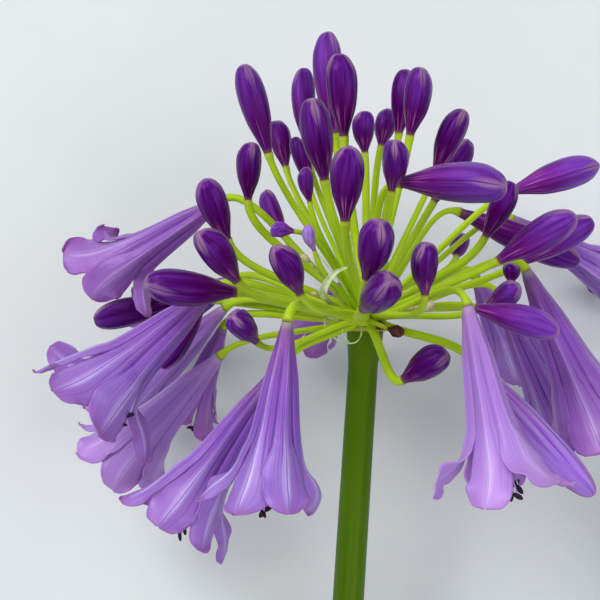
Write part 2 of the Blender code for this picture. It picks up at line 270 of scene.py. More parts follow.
class Sheet:
    """A material's node tree, with short calls for the nodes that the finishes use."""

    def __init__(self, name: str, roughness: float, specular: float,
                 gleam: Colour = (1.0, 1.0, 1.0)) -> None:
        """Start a material with its shader's plain values, gleam being the tint of its reflections."""
        self.material = bpy.data.materials.new(name)
        self.material.use_nodes = True
        self.tree = self.material.node_tree
        self.shader = self.tree.nodes["Principled BSDF"]
        self.shader.inputs["Roughness"].default_value = roughness
        self.shader.inputs["Specular IOR Level"].default_value = specular
        self.shader.inputs["Specular Tint"].default_value = (*gleam, 1.0)

    def set(self, **values: float) -> None:
        """Constants on the shader's own sockets, with underscores for spaces."""
        for name, value in values.items():
            self.shader.inputs[name.replace("_", " ")].default_value = value

    def _feed(self, socket: bpy.types.NodeSocket, value: object) -> None:
        """Link a socket, or set it to a constant."""
        if isinstance(value, bpy.types.NodeSocket):
            self.tree.links.new(value, socket)
        elif isinstance(value, tuple) and len(value) == 3 and socket.type == "RGBA":
            socket.default_value = (*value, 1.0)
        else:
            socket.default_value = value

    def node(self, kind: str, *feeds: object, out: object = 0, **settings: object) -> object:
        """Add a node with its own settings, feed its inputs in their order, and give one output."""
        node = self.tree.nodes.new("ShaderNode" + kind)
        for name, value in settings.items():
            setattr(node, name, value)
        for socket, value in zip(node.inputs, feeds):
            self._feed(socket, value)
        return node.outputs[out]

    def growth(self) -> tuple:
        """The piece's own across and along coordinates."""
        across = self.node("SeparateXYZ", self.node("UVMap", uv_map="growth"), out="X")
        return across, across.node.outputs["Y"]

    def attribute(self, name: str) -> object:
        """A number kept on the mesh."""
        return self.node("Attribute", out="Fac", attribute_name=name)

    def place(self) -> object:
        """Object coordinates, in metres."""
        return self.node("TexCoord", out="Object")

    def math(self, operation: str, first: object, second: object = 0.0, clamp: bool = False) -> object:
        """One arithmetic node."""
        return self.node("Math", first, second, operation=operation, use_clamp=clamp)

    def times(self, first: object, second: object) -> object:
        """Two numbers multiplied."""
        return self.math("MULTIPLY", first, second)

    def centred(self, value: object) -> object:
        """How far a share is from one half."""
        return self.math("ABSOLUTE", self.math("SUBTRACT", value, 0.5))

    def spread(self, value: object, low: float, high: float, start: float = 0.0,
               end: float = 1.0) -> object:
        """A smooth run from start to end while the value goes from low to high."""
        return self.node("MapRange", value, low, high, start, end, interpolation_type="SMOOTHSTEP")

    def noise(self, place: object, scale: float, detail: float = 2.0, rough: float = 0.5) -> object:
        """Even noise from 0 to 1."""
        node = self.tree.nodes.new("ShaderNodeTexNoise")
        self._feed(node.inputs["Vector"], place)
        node.inputs["Scale"].default_value = scale
        node.inputs["Detail"].default_value = detail
        node.inputs["Roughness"].default_value = rough
        return node.outputs["Fac"]

    def streaks(self, growth: tuple, across: float, along: float, shift: object, scale: float,
                detail: float = 2.0, rough: float = 0.5) -> object:
        """Noise on the growth coordinates, each first multiplied by its own number."""
        place = self.node("CombineXYZ", self.times(growth[0], across), self.times(growth[1], along), shift)
        return self.noise(place, scale, detail, rough)

    def ramp(self, value: object, stops: tuple[tuple[float, Colour], ...]) -> object:
        """Colours at shares of a value."""
        node = self.tree.nodes.new("ShaderNodeValToRGB")
        node.color_ramp.interpolation = "EASE"
        elements = node.color_ramp.elements
        while len(elements) < len(stops):
            elements.new(0.5)
        for element, (share, _) in zip(elements, stops):
            element.position = share
        for element, (_, colour) in zip(elements, stops):
            element.color = (*colour, 1.0)
        self._feed(node.inputs["Fac"], value)
        return node.outputs["Color"]

    def mix(self, share: object, first: object, second: object) -> object:
        """Two colours mixed by a share."""
        node = self.tree.nodes.new("ShaderNodeMix")
        node.data_type = "RGBA"
        self._feed(node.inputs["Factor"], share)
        first_socket, second_socket = [socket for socket in node.inputs if socket.type == "RGBA"]
        self._feed(first_socket, first)
        self._feed(second_socket, second)
        return [socket for socket in node.outputs if socket.type == "RGBA"][0]

    def over(self, colour: object, top: object, *runs: tuple) -> object:
        """A second colour laid over a first by the product of smooth runs, each as spread takes it."""
        share = self.spread(*runs[0])
        for run in runs[1:]:
            share = self.times(share, self.spread(*run))
        return self.mix(share, colour, top)

    def bump(self, height: object, strength: float, distance: float) -> None:
        """Fine relief on the shader's normal, distance in millimetres."""
        node = self.tree.nodes.new("ShaderNodeBump")
        node.inputs["Strength"].default_value = strength
        node.inputs["Distance"].default_value = distance * MM
        self._feed(node.inputs["Height"], height)
        self.tree.links.new(node.outputs["Normal"], self.shader.inputs["Normal"])

    def colour(self, value: object) -> Material:
        """Put the colour on the shader and give the finished material."""
        self._feed(self.shader.inputs["Base Color"], value)
        return self.material


@dataclass(frozen=True)
class PetalFinish:
    """Satin lilac tepals: dusky at the base, pale keels that are partly a painted highlight, painted
    highlight streaks on the tube, painted shade in its grooves, mauve tips.
    """

    name: str = "petal_lilac"
    foot: Colour = (0.36, 0.33, 0.24)
    base: Colour = (0.21, 0.08, 0.24)
    throat: Colour = (0.19, 0.05, 0.30)
    tube: Colour = (0.225, 0.072, 0.46)
    lobe: Colour = (0.27, 0.155, 0.53)
    tip: Colour = (0.29, 0.14, 0.42)
    # pale keel band of the tepals' own, also used as a painted highlight on the keels and the tube
    pale_stripe_and_highlight: Colour = (0.60, 0.53, 0.88)
    # pale lilac for negative tints: partly a floret's own paler colour, partly painted light on florets
    # that others shade
    pale: Colour = (0.53, 0.31, 0.76)
    # dark violet of veins and streaks, also used as painted shade in the tube's grooves
    dark: Colour = (0.075, 0.012, 0.24)
    edge: Colour = (0.28, 0.105, 0.44)
    # dusky mauve for positive tints: partly a floret's own colour, partly painted shade
    mauve: Colour = (0.27, 0.085, 0.37)

    def material(self) -> Material:
        """Build the material on the tepals' own coordinates."""
        sheet = Sheet(self.name, 0.3, 0.4, (0.85, 0.7, 1.0))
        sheet.set(Subsurface_Weight=0.2, Subsurface_Scale=0.003)
        growth = across, along = sheet.growth()
        tint, mark = sheet.attribute("tint"), sheet.attribute("mark")
        centred = sheet.centred(across)
        colour = sheet.ramp(along, ((0.0, self.foot), (0.05, self.base), (0.14, self.throat),
                                    (0.4, self.tube), (0.78, self.lobe), (0.94, self.lobe),
                                    (1.0, self.tip)))
        streak = sheet.streaks(growth, 9.0, 1.0, mark, 1.6, 4.0, 0.6)
        colour = sheet.over(colour, self.dark, (streak, 0.42, 0.72, 0.0, 0.5),
                            (along, 0.55, 0.85, 1.0, 0.4))
        colour = sheet.over(colour, self.edge, (sheet.noise(sheet.place(), 75.0, 3.0), 0.4, 0.7, 0.0, 0.45))
        colour = self.keel(sheet, colour, centred, along, streak)
        fine = sheet.streaks(growth, 17.0, 1.2, mark, 1.0)
        colour = sheet.over(colour, self.dark, (fine, 0.52, 0.66, 0.0, 0.75), (along, 0.55, 0.85, 1.0, 0.3))
        # painted highlight: pale streaks laid along the tube's ridges, fading out before the lobes
        gleam = sheet.streaks(growth, 8.0, 0.8, sheet.math("ADD", mark, 5.0), 1.3)
        colour = sheet.over(colour, self.pale_stripe_and_highlight, (gleam, 0.55, 0.66, 0.0, 0.55), (along, 0.06, 0.16),
                            (along, 0.4, 0.62, 1.0, 0.0))
        colour = sheet.over(colour, self.edge, (centred, 0.4, 0.5), (along, 0.6, 0.8, 0.0, 0.5))
        # per-floret tint: mauve partly as painted shade, pale partly as painted light
        colour = sheet.over(colour, self.mauve, (tint, 0.0, 1.0), (along, 0.3, 0.9, 0.35, 0.8))
        colour = sheet.over(colour, self.pale, (tint, -1.0, 0.0, 0.7, 0.0))
        sheet.bump(sheet.math("ADD", sheet.times(fine, 0.5), streak), 0.4, 0.3)
        return sheet.colour(colour)

    def keel(self, sheet: Sheet, colour: object, centred: object, along: object, streak: object) -> object:
        """Pale along the keels, partly as a painted highlight, with a thin dark line on the lobes, and
        painted shade in the tube's grooves.
        """
        # pale keel band: partly the tepal's own pale band, partly a painted highlight that is strongest
        # mid-lobe
        colour = sheet.over(colour, self.pale_stripe_and_highlight, (centred, 0.02, 0.17, 1.0, 0.0),
                            (along, 0.35, 0.85, 0.15, 0.7), (along, 0.88, 1.0, 1.0, 0.1),
                            (streak, 0.3, 0.6, 1.0, 0.35))
        colour = sheet.over(colour, self.dark, (centred, 0.004, 0.022, 1.0, 0.0),
                            (along, 0.5, 0.75, 0.1, 0.6))
        # painted shade: the tube darkened along the grooves where neighbouring tepals meet
        return sheet.over(colour, self.dark, (centred, 0.4, 0.49, 0.0, 0.85), (along, 0.6, 0.75, 1.0, 0.0),
                          (along, 0.08, 0.3))


@dataclass(frozen=True)
class BudFinish:
    """Waxy dark violet buds: magenta below and bluer above, with a painted bluish sheen, tan margins at the
    tip where tepals meet.
    """

    name: str = "bud_violet_skin"
    foot: Colour = (0.17, 0.07, 0.08)
    low: Colour = (0.083, 0.0004, 0.098)
    high: Colour = (0.078, 0.003, 0.155)
    shade: Colour = (0.026, 0.0001, 0.045)
    ripe: Colour = (0.24, 0.075, 0.60)
    flush: Colour = (0.25, 0.03, 0.40)
    # painted sheen: a bluish highlight colour laid over the buds
    bloom: Colour = (0.165, 0.042, 0.40)
    pale: Colour = (0.45, 0.30, 0.72)
    margin: Colour = (0.33, 0.18, 0.30)
    line: Colour = (0.42, 0.13, 0.35)

    def material(self) -> Material:
        """Build the material on the buds' own coordinates."""
        sheet = Sheet(self.name, 0.27, 0.24, (0.6, 0.2, 1.0))
        sheet.set(Subsurface_Weight=0.06, Subsurface_Scale=0.002)
        growth = sheet.growth()
        along = growth[1]
        ripe, shift = sheet.attribute("tint"), sheet.times(sheet.attribute("mark"), 9.0)
        streak = sheet.streaks(growth, 14.0, 0.9, shift, 1.5, 3.0, 0.55)
        colour = sheet.over(self.low, self.high, (along, 0.25, 0.8))
        colour = sheet.over(colour, self.shade, (streak, 0.35, 0.65, 0.45, 0.0))
        opened = sheet.over(self.flush, self.ripe, (along, 0.3, 0.75))
        share = sheet.math("MULTIPLY", ripe, sheet.spread(streak, 0.25, 0.7, 0.35, 1.0), clamp=True)
        colour = sheet.mix(share, colour, opened)
        colour = sheet.over(colour, self.pale, (ripe, 1.0, 2.0), (streak, 0.3, 0.65))
        # painted sheen: bluish highlight laid on the bright streaks, stronger towards the tip
        colour = sheet.over(colour, self.bloom, (streak, 0.42, 0.7), (along, 0.35, 0.85, 0.0, 0.35))
        fine = sheet.streaks(growth, 55.0, 1.5, shift, 1.0, 1.0)
        colour = sheet.over(colour, self.line, (fine, 0.56, 0.68, 0.0, 0.7), (along, 0.2, 0.42, 1.0, 0.03))
        colour = sheet.over(colour, self.shade, (fine, 0.46, 0.3, 0.0, 0.3))
        colour = self.seams(sheet, colour, growth, shift)
        colour = sheet.over(colour, self.foot, (along, 0.0, 0.07, 0.85, 0.0))
        sheet.bump(streak, 0.2, 0.2)
        return sheet.colour(colour)

    def seams(self, sheet: Sheet, colour: object, growth: tuple, shift: object) -> object:
        """A dark line where tepals meet, and beside it a tan margin that widens to the tip."""
        across, along = growth
        away = sheet.centred(sheet.math("FRACT", sheet.times(across, 3.0)))
        patch = sheet.streaks(growth, 3.0, 1.0, shift, 1.1)
        share = sheet.math("DIVIDE", away, sheet.spread(along, 0.6, 0.98, 0.03, 0.25))
        colour = sheet.over(colour, self.margin, (share, 0.3, 1.0, 1.0, 0.0), (along, 0.6, 0.95, 0.0, 0.75),
                            (patch, 0.3, 0.62, 0.45, 1.0))
        colour = sheet.over(colour, self.shade, (away, 0.004, 0.022, 1.0, 0.0),
                            (along, 0.05, 0.4, 0.2, 0.85))
        return sheet.over(colour, self.margin, (along, 0.96, 1.0, 0.0, 0.5))


@dataclass(frozen=True)
class StalkFinish:
    """Smooth green stalks with fine lengthwise streaks and a colour that changes along them."""

    name: str
    root: Colour
    middle: Colour
    end: Colour
    streak: Colour
    flush: Colour
    roughness: float = 0.4

    def material(self) -> Material:
        """Build the material on the stalk's own coordinates."""
        sheet = Sheet(self.name, self.roughness, 0.22, (0.8, 1.0, 0.2))
        sheet.set(Subsurface_Weight=0.12, Subsurface_Scale=0.002)
        growth = sheet.growth()
        colour = sheet.ramp(growth[1], ((0.0, self.root), (0.5, self.middle), (0.9, self.middle),
                                        (0.97, self.end), (1.0, self.flush)))
        lines = sheet.streaks(growth, 12.0, 1.0, 0.0, 2.2, 3.0)
        colour = sheet.over(colour, self.streak, (lines, 0.4, 0.75, 0.0, 0.6))
        colour = sheet.over(colour, self.end, (sheet.noise(sheet.place(), 60.0), 0.4, 0.7, 0.0, 0.25))
        sheet.bump(lines, 0.15, 0.2)
        return sheet.colour(colour)


@dataclass(frozen=True)
class DullFinish:
    """A mottled matte finish for anthers, dried scraps, filaments and the cut."""

    name: str
    first: Colour
    second: Colour
    roughness: float = 0.7
    scale: float = 900.0
    relief: float = 0.3

    def material(self) -> Material:
        """Build the material on object coordinates."""
        sheet = Sheet(self.name, self.roughness, 0.3)
        spots = sheet.noise(sheet.place(), self.scale, 4.0, 0.6)
        sheet.bump(spots, self.relief, 0.2)
        return sheet.colour(sheet.over(self.first, self.second, (spots, 0.35, 0.65)))


def placed(name: str, data: bpy.types.ID) -> bpy.types.Object:
    """A new object in the scene."""
    piece = bpy.data.objects.new(name, data)
    bpy.context.scene.collection.objects.link(piece)
    return piece


def make_piece(name: str, surface: Surface, material: Material, tint: float = 0.0,
               weld: float = 0.0, wall: float = 0.0, mark: float = 0.0) -> bpy.types.Object:
    """Put a surface in millimetres into a mesh in metres, and ride it on the flower's one body.

    Args:
        name: the piece's name.
        surface: its points, faces and growth coordinates.
        material: its finish.
        tint: how ripe a bud is, or how dusky mauve (partly painted shade) or pale (partly painted light) a
            floret's finish is.
        weld: points closer than this, in millimetres, become one.
        wall: thickness given inwards, in millimetres.
        mark: a number that shifts the finish's pattern from one piece to the next.

    Returns:
        The new object, at the origin.
    """
    mesh = bpy.data.meshes.new(name)
    mesh.from_pydata((surface.points * MM).tolist(), [], surface.faces)
    chart = mesh.uv_layers.new(name="growth")
    chart.data.foreach_set("uv", np.asarray(surface.corners, np.float32).ravel())
    mesh.materials.append(material)
    shape = bmesh.new()
    shape.from_mesh(mesh)
    if weld:
        bmesh.ops.remove_doubles(shape, verts=shape.verts, dist=weld * MM)
    if not wall:
        bmesh.ops.recalc_face_normals(shape, faces=shape.faces)
    shape.to_mesh(mesh)
    shape.free()
    mesh.shade_smooth()
    for label, value in (("tint", tint), ("mark", mark)):
        values = mesh.attributes.new(label, "FLOAT", "POINT")
        values.data.foreach_set("value", np.full(len(mesh.vertices), value, np.float32))
    piece = placed(name, mesh)
    if wall:
        shell = piece.modifiers.new("wall", "SOLIDIFY")
        shell.thickness = wall * MM
        shell.offset = -1.0
    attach(piece, BODY)
    LOG.info("%s: %d faces", name, len(mesh.polygons))
    return piece


def tube(path: Array, radius: Array, sides: int, ribs: tuple[int, float] = (0, 0.0)) -> Surface:
    """A round closed bar along a path: each ring is square to it, with the first side carried along.

    Args:
        path: the middle line's points.
        radius: the half width at each point.
        sides: points round a ring.
        ribs: how many ribs stand out, and by what share of the radius.

    Returns:
        The surface, with across going round it and along going up it from 0 to 1.
    """
    tangent = unit(np.gradient(path, axis=0))
    chord = unit(path[-1] - path[0])
    guide = np.cross(chord, np.eye(3)[np.argmin(np.abs(chord))])
    side = unit(guide - tangent * (tangent @ guide)[:, None])
    other = np.cross(tangent, side)
    turn = circle(sides)
    swell = 1.0 + ribs[1] * np.cos(ribs[0] * turn)
    ring = side[:, None] * np.cos(turn)[None, :, None] + other[:, None] * np.sin(turn)[None, :, None]
    points = path[:, None] + ring * (radius[:, None] * swell[None])[..., None]
    return Surface.barrel(points, shares(len(path)), (path[0], path[-1]))


@dataclass
class Scape:
    """The stalk: a tapered bar with faint ribs, swelling where the receptacle sits, and its cut foot."""

    head: Head
    node: str = "scape"
    sides: int = 48
    rows: int = 90
    rib_share: float = 0.006
    rib_count: int = 16
    swelling: float = 1.1      # mm that the top widens to carry the receptacle
    swell_from: float = 0.93   # share of its length where it starts to widen
    bury: float = 3.0          # mm from its top to the receptacle's middle
    cut_columns: int = 36
    cut_rings: tuple = (0.96, 0.9, 0.7, 0.45, 0.2)          # shares of the foot's half width
    cut_depths: tuple = (0.03, -0.03, -0.02, 0.02, 0.035)   # mm up into the stalk
    cut_proud: float = 0.06    # mm that the disc stands out of the foot
    cut_back: float = 0.4      # mm that its back lies inside

    def path(self) -> tuple[Array, Array]:
        """The middle line from the foot to inside the receptacle, and its half widths."""
        points = node_points(self.node)
        axis = unit(self.head.centre - points.mean(0))
        reach = (points - self.head.centre) @ axis
        foot, top = points[reach < reach.min() + END_BAND], points[reach > reach.max() - END_BAND]
        foot_radius, top_radius = (np.linalg.norm(end - end.mean(0), axis=1).max() for end in (foot, top))
        share = shares(self.rows)
        middle = foot.mean(0) + np.outer(share, self.head.centre - axis * self.bury - foot.mean(0))
        radius = foot_radius + (top_radius - foot_radius) * share
        return middle, radius + self.swelling * ease(self.swell_from, 1.0, share)

    def build(self, skin: Material, flesh: Material) -> None:
        """Make the stalk and the pale wet disc of its cut."""
        middle, radius = self.path()
        surface = tube(middle, radius, self.sides, (self.rib_count, self.rib_share))
        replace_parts(make_piece("scape_skin", surface, skin), self.node)
        self.cut(middle, radius[0], flesh)

    def cut(self, middle: Array, radius: float, flesh: Material) -> None:
        """The moist flesh of the cut: a disc just proud of the foot, dished towards its middle."""
        axis = unit(middle[1] - middle[0])
        rings, depths = np.array(self.cut_rings), np.array(self.cut_depths)
        guide = unit(np.cross(axis, self.head.out))
        ring = turned(guide, np.cross(axis, guide), circle(self.cut_columns))
        points = middle[0] + ring[None] * (rings * radius)[:, None, None] \
            + axis * (depths - self.cut_proud)[:, None, None]
        surface = Surface.grid(points, shares(self.cut_columns + 1), rings, True)
        rim = np.arange(self.cut_columns)
        surface.cap(rim + self.cut_columns * (len(rings) - 1), points[-1].mean(0), 0.0, False)
        surface.cap(rim, middle[0] + axis * self.cut_back, 0.0, True)
        make_piece("scape_cut_flesh", surface, flesh)


@dataclass
class Pedicels:
    """All the flower stalks, each a smooth curve out of the dome that ends in line with its bloom."""

    head: Head
    stems: list[Stem]
    root_depth: float = 3.2    # mm from the dome's middle to where a stalk starts
    root_pull: float = 0.45    # share of the way that the curve's second knot lies straight out
    handle: float = 11.0       # mm that its third knot lies before the joint, in line with the bloom
    hooked: dict[str, float] = field(default_factory=lambda: {"bud_37": 5.0})
    radius: float = 1.24
    vary: float = 0.16         # share that the half widths differ by
    flare: float = 0.35        # mm that a stalk widens at its root
    neck: float = 1.55         # half width under a floret
    bud_neck: float = 0.33     # half width under a bud, as a share of the bud's
    ribs: tuple = (3, 0.05)
    sides: int = 10
    rows: int = 26
    dome_rows: int = 22
    dome_columns: int = 48
    dome_share: float = 0.97   # of the receptacle's half width
    boss: float = 0.04         # share that the bosses stand out

    def route(self, stem: Stem) -> Array:
        """A cubic curve: straight out of the dome, then along the bloom's axis at the joint."""
        outward = unit(stem.joint - self.head.centre)
        start = self.head.centre + outward * self.root_depth
        reach = np.linalg.norm(stem.joint - start)
        handle = self.hooked.get(stem.name, self.handle)
        knots = np.stack([start, start + outward * reach * self.root_pull,
                          stem.joint - stem.axis * handle, stem.joint + stem.axis * GAP])
        t = shares(self.rows)[:, None]
        weights = np.hstack([(1 - t) ** 3, 3 * t * (1 - t) ** 2, 3 * t * t * (1 - t), t ** 3])
        return weights @ knots

    def build(self, skin: Material) -> None:
        """Make every stalk in one piece, with the dome that they grow from.

        A stalk's half width varies by the sine of 2.3 times its number, is less under a slim bud, and
        widens smoothly at its root and to its neck.
        """
        share = shares(self.rows)
        bars = []
        for number, stem in enumerate(self.stems):
            thin = self.radius * (0.9 + self.vary * math.sin(2.3 * number)) \
                * min(1.0, 0.35 + 0.16 * stem.radius)
            neck = self.neck if stem.name.startswith("floret") else max(0.6, self.bud_neck * stem.radius)
            radius = thin + (neck - thin) * ease(0.9, 1.0, share) + self.flare * ease(0.16, 0.0, share)
            bars.append(tube(self.route(stem), radius, self.sides, self.ribs))
        bars.append(self.dome())
        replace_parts(make_piece("pedicels", joined(bars), skin), "umbel")

    def dome(self) -> Surface:
        """The receptacle: half turns of a squat ball, with bosses where the stalks leave it."""
        rise = np.linspace(-0.5 * np.pi, 0.5 * np.pi, self.dome_rows + 2)[1:-1, None]
        turn = circle(self.dome_columns)[None]
        boss = 1.0 + self.boss * np.sin(7 * turn) * np.cos(5 * rise)
        wide = DOME_RADIUS * self.dome_share
        grid = np.stack([wide * np.cos(rise) * np.cos(turn) * boss,
                         DOME_HEIGHT * np.sin(rise) * np.ones_like(turn),
                         -wide * np.cos(rise) * np.sin(turn) * boss], -1)
        points = self.head.place(grid)
        ends = self.head.place([[0, -DOME_HEIGHT, 0], [0, DOME_HEIGHT, 0]])
        return Surface.barrel(points, np.full(self.dome_rows, 0.05), ends)


@dataclass
class Scraps:
    """What is left of the spathe and of failed buds round the receptacle, in growing millimetres."""

    head: Head
    threads: tuple = (
        (0.34, ((-4.6, -0.8, 3.6), (-9.0, -0.4, 9.0), (-12.2, 0.5, 12.5), (-12.5, -2.2, 12.8),
                (-11.0, -4.7, 12.0), (-7.4, -6.9, 10.0), (-3.8, -7.2, 8.2), (-1.9, -5.3, 7.2),
                (-1.6, -2.0, 5.2))),
        (0.28, ((-5.0, -2.0, 3.4), (-7.3, -3.2, 9.4), (-7.0, -5.2, 9.8), (-5.4, -6.9, 9.0))),
        (0.26, ((-1.0, 4.3, 2.6), (-2.4, 10.2, 15.0), (-4.2, 17.0, 25.0), (-6.0, 24.3, 31.0))),
        (0.24, ((-3.6, 3.4, 3.0), (-7.4, 9.6, 13.5), (-11.0, 14.2, 17.0), (-15.0, 19.0, 19.0))),
        (0.22, ((4.2, 2.6, 3.4), (9.6, 7.2, 12.0), (11.5, 8.0, 14.5), (12.6, 9.6, 15.6))),
    )
    failed: tuple = (
        (0.42, 1.55, ((5.0, 1.0, 3.0), (9.6, 2.4, 16.0), (13.4, 3.4, 27.0), (17.6, 3.9, 33.0))),
        (0.34, 1.0, ((-4.6, 2.2, 3.2), (-10.5, 9.0, 12.5), (-16.6, 15.8, 17.0), (-19.6, 18.6, 17.6))),
        (0.3, 0.8, ((-5.4, 1.2, 2.8), (-10.0, 4.0, 9.0), (-13.4, 6.6, 11.8), (-16.8, 7.4, 12.6))),
    )
    bract_line: tuple = ((-4.6, 1.2, 2.0), (-9.6, 3.6, 6.0), (-12.9, 6.7, 13.5), (-12.2, 10.2, 16.5),
                         (-9.6, 13.3, 17.0), (-6.0, 14.9, 16.4))
    bract_width: tuple = (0.45, 0.5, 1.0, 1.0, 0.6, 0.1)
    bract_roll: float = 1.25   # radians that each margin is rolled by
    bract_wall: float = 0.14
    stub: tuple = ((3.4, -1.6, 5.0), (4.0, -2.1, 6.6), (4.3, -2.4, 7.6), (4.7, -2.6, 8.8))
    stub_radius: tuple = (1.0, 1.35, 1.3, 0.5)
    thread_rows: int = 40
    failed_rows: int = 48
    failed_from: float = 0.72  # share of a failed bud's length where its head starts
    bract_rows: int = 48
    bract_columns: int = 13
    scar_columns: int = 140
    # each ring of the scar: height, half width, how far its edge tears out, and how far it tears down
    scar_rings: tuple = ((-2.2, 5.2, 0.0, 0.0), (-2.6, 5.95, 0.25, 0.1), (-3.2, 6.2, 0.55, 0.3),
                         (-3.8, 5.7, 0.3, 0.5), (-3.6, 5.1, 0.0, 0.1), (-3.0, 4.6, 0.0, 0.0))

    def line(self, knots: tuple, rows: int) -> Array:
        """A smooth line through growing knots, in the laid frame."""
        return self.head.place(through(shares(len(knots)), knots, shares(rows)))

    def build(self, pale: Material, dry: Material, husk: Material, red: Material) -> None:
        """Make the threads, the failed buds, the curled bract, the scar and the reddish stub."""
        taper = np.linspace(1.0, 0.6, self.thread_rows)
        bars = [tube(self.line(knots, self.thread_rows), radius * taper, 7)
                for radius, knots in self.threads]
        make_piece("spathe_threads", joined(bars), pale)
        share = shares(self.failed_rows)
        swell = np.sin(np.pi * np.clip((share - self.failed_from) / (1 - self.failed_from), 0, 1)) ** 0.7
        for number, (thin, thick, knots) in enumerate(self.failed, 1):
            radius = thin * (1 - 0.5 * ease(0.9, 1, share)) + (thick - thin) * swell
            bar = tube(self.line(knots, self.failed_rows), radius, 14, (5, 0.10))
            make_piece("failed_bud_%d" % number, bar, dry)
        self.bract(pale)
        self.scar(husk)
        stub = tube(self.head.place(self.stub), np.array(self.stub_radius), 16, (5, 0.12))
        make_piece("withered_stub", stub, red)

    def bract(self, pale: Material) -> None:
        """A narrow sheet that is rolled along its length and curls over at its end."""
        line = self.line(self.bract_line, self.bract_rows)
        width = through(shares(len(self.bract_width)), self.bract_width, shares(self.bract_rows))
        tangent = unit(np.gradient(line, axis=0))
        across = unit(np.cross(tangent, self.head.out))
        back = np.cross(across, tangent)
        angle = np.linspace(-self.bract_roll, self.bract_roll, self.bract_columns)
        points = line[:, None] + across[:, None] * (width[:, None] * np.sin(angle))[..., None] \
            + back[:, None] * (width[:, None] * (1 - np.cos(angle)))[..., None]
        surface = Surface.grid(points, shares(self.bract_columns), shares(self.bract_rows))
        make_piece("spathe_bract", surface, pale, wall=self.bract_wall)

    def scar(self, husk: Material) -> None:
        """The torn rim that the spathe left: a wavy band round the dome's lower side."""
        turn = circle(self.scar_columns)
        ragged = 0.45 * np.sin(9 * turn) + 0.3 * np.sin(23 * turn + 1) + 0.25 * np.sin(41 * turn + 2)
        level, width, tear, drop = np.array(self.scar_rings).T[..., None]
        width, level = width + tear * ragged, level - drop * np.abs(ragged)
        grid = np.stack([width * np.cos(turn), level, -width * np.sin(turn)], -1)
        points = self.head.place(grid)
        ends = self.head.place([[0, self.scar_rings[0][0], 0], [0, self.scar_rings[-1][0], 0]])
        surface = Surface.barrel(points, shares(len(self.scar_rings)), ends)
        make_piece("spathe_scar", surface, husk)


@dataclass(frozen=True)
class BudHabit:
    """How one bud looks."""

    ripeness: float = 0.0      # 0 dark, 1 lilac, 2 pale
    wrinkle: float = 0.0       # share of its half width
    bow: float = 0.35          # mm that its middle bows
    beak: float = 0.35         # mm that its beak leans
    turn: float = 0.0          # degrees that its seams are turned


@dataclass
class Bud:
    """A closed bud: a turned form with three outer tepals that meet in seams and end in a blunt beak."""

    stem: Stem
    head: Head
    habit: BudHabit
    profile: tuple = ((0.0, 0.30), (0.05, 0.35), (0.16, 0.53), (0.36, 0.86), (0.6, 1.0), (0.78, 0.94),
                      (0.89, 0.75), (0.955, 0.51), (0.985, 0.32), (0.997, 0.16), (1.0, 0.03))
    columns: int = 60
    rows: int = 48
    seam: float = 0.055        # share of the radius that a seam is sunk
    seam_width: float = 0.045  # widths and places as shares of the way from one seam to the next
    lip_place: float = 0.12
    lip_width: float = 0.06
    lip_rise: float = 0.35     # share of a seam's depth that its lips stand out
    crease: float = 0.25       # share of it that the middles between seams are sunk
    swelling: float = 0.045    # share of the radius that the three tepals swell
    end_swelling: float = 0.10

    def build(self, skin: Material, seed: int) -> None:
        """Make the bud.

        The half width at each share of the length follows the profile, less a narrow dip at each of three
        seams and a shallow one between them, with three swellings, a lump for each tepal's end at the
        beak, and wrinkles on a withered one.

        Args:
            skin: the buds' finish.
            seed: chooses a small turn of the seams and the bow's side.
        """
        draw = np.random.default_rng(seed)
        side, front = self.stem.sides(self.head, 90.0 + draw.uniform(-28, 28) + self.habit.turn)
        lean = draw.uniform(0, 2 * np.pi)
        stations = shares(len(self.profile))
        knots = through(stations, self.profile, shares(self.rows))
        share, radius = np.clip(knots[:, 0], 0, 1), np.maximum(knots[:, 1], 0.02) * self.stem.radius
        turn = circle(self.columns)
        cell = turn * 3 / (2 * np.pi)
        seam = np.exp(-((cell % 1.0 - 0.5) / self.seam_width) ** 2)
        lip = np.exp(-((np.abs(cell % 1.0 - 0.5) - self.lip_place) / self.lip_width) ** 2)
        between = np.exp(-(((cell + 0.5) % 1.0 - 0.5) / self.lip_width) ** 2)
        depth = self.seam * ease(0.08, 0.6, share)[:, None]
        form = 1.0 - depth * seam + self.lip_rise * depth * lip * ease(0.4, 0.9, share)[:, None] \
            - self.crease * depth * between
        swell = self.swelling * ease(0.2, 0.8, share) + self.end_swelling * ease(0.88, 0.97, share)
        form = form + swell[:, None] * np.cos(3 * turn + np.pi)
        if self.habit.wrinkle:
            rise = share[:, None]
            creases = np.sin(7 * turn + 5 * rise + draw.uniform(0, 6)) \
                + 0.7 * np.sin(11 * turn - 9 * rise) + 0.6 * np.sin(14 * rise + 2 * turn)
            form = form * (1 - self.habit.wrinkle * (0.2 + 0.25 * creases))
        reach = radius[:, None] * form
        bow, beak = (swung(side, front, angle)[0] for angle in (lean, lean + 2.4))
        shift = bow * (self.habit.bow * np.sin(np.pi * share))[:, None] \
            + beak * (self.habit.beak * ease(0.7, 1.0, share))[:, None]
        middle = self.stem.joint + self.stem.axis * (GAP + share * self.stem.length)[:, None] + shift
        points = middle[:, None] + turned(side, front, turn)[None] * reach[..., None]
        surface = Surface.barrel(points, share, (middle[0], points[-1].mean(0)), False)
        piece = make_piece(self.stem.name + "_skin", surface, skin, self.habit.ripeness,
                           mark=draw.uniform())
        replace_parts(piece, self.stem.name)


